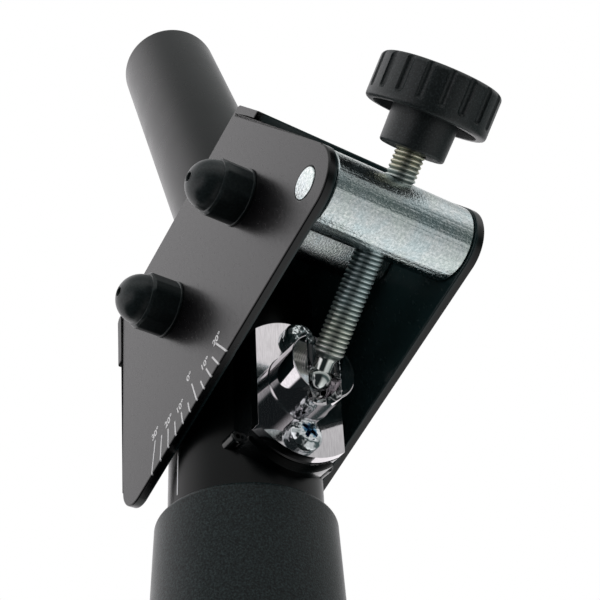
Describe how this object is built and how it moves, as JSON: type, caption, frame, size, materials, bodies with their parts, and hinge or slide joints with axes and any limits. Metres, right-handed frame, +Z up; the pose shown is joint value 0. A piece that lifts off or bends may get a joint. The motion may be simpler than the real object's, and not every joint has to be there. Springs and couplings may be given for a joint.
{
  "type": "tilting stand head",
  "caption": "Tilting head for a round stand tube: a folded bracket with a round spigot pivots on a sleeved post and is set by a hand screw through a cross barrel.",
  "frame": {"origin": "centre of the open foot of the lower sleeve, on the post's axis", "axes": "+Z up along the post, +X towards the hand screw, +Y along the pivot bolt towards the far cheek"},
  "size_m": [0.173, 0.0808, 0.3033],
  "materials": {
    "collar_plastic": "fine grained black moulding",
    "post_powder": "satin black powder coat",
    "bracket_powder": "fine textured black powder coat",
    "moulded_black": "black moulding",
    "cap_plastic": "matt black moulding",
    "knob_plastic": "matt black moulding",
    "zinc_plate": "bright zinc plate with fine speckle",
    "bright_chrome": "mirror chrome on a die casting"
  },
  "bodies": {
    "post": {"lower_sleeve": "collar_plastic", "lower_tube": "post_powder", "pivot_bush": "zinc_plate", "saddle_block": "moulded_black", "ball_socket": "bright_chrome", "socket_screw_upper": "zinc_plate", "socket_screw_lower": "zinc_plate"},
    "bracket": {"tilt_bracket": "bracket_powder", "upper_tube": "post_powder", "pivot_bolt": "zinc_plate", "pivot_nut": "zinc_plate", "pivot_washer_near": "zinc_plate", "pivot_washer_far": "zinc_plate", "pivot_cap_near": "cap_plastic", "pivot_cap_far": "cap_plastic", "spacer_bolt": "zinc_plate", "spacer_nut": "zinc_plate", "spacer_washer_near": "zinc_plate", "spacer_washer_far": "zinc_plate", "spacer_cap_near": "cap_plastic", "spacer_cap_far": "cap_plastic", "spacer_tube": "zinc_plate"},
    "barrel": {"cross_barrel": "zinc_plate"},
    "screw": {"hand_screw": "zinc_plate"},
    "knob": {"knob": "knob_plastic"}
  },
  "joints": [
    {"name": "tilt", "type": "hinge", "parent": "post", "child": "bracket", "pos_m": [0, 0, 0.1335], "axis": [0, -1, 0], "range_deg": [-21.3, 7.7]},
    {"name": "barrel_swivel", "type": "hinge", "parent": "bracket", "child": "barrel", "pos_m": [0.06897, 0, 0.12468], "axis": [0, -1, 0], "range_deg": [-5.3, 2]},
    {"name": "screw_travel", "type": "slide", "parent": "barrel", "child": "screw", "axis": [0.749, 0, 0.6626], "range_m": [-0.0072, 0.0195]},
    {"name": "knob_turn", "type": "hinge", "parent": "screw", "child": "knob", "pos_m": [0.06897, 0, 0.12468], "axis": [0.749, 0, 0.6626], "range_deg": [-2010, 5530]}
  ],
  "couplings": [
    {"joint": "barrel_swivel", "follows": "tilt", "ratio": 0.24},
    {"joint": "screw_travel", "follows": "tilt", "m_per_rad": -0.0515},
    {"joint": "knob_turn", "follows": "tilt", "ratio": -258.87}
  ]
}
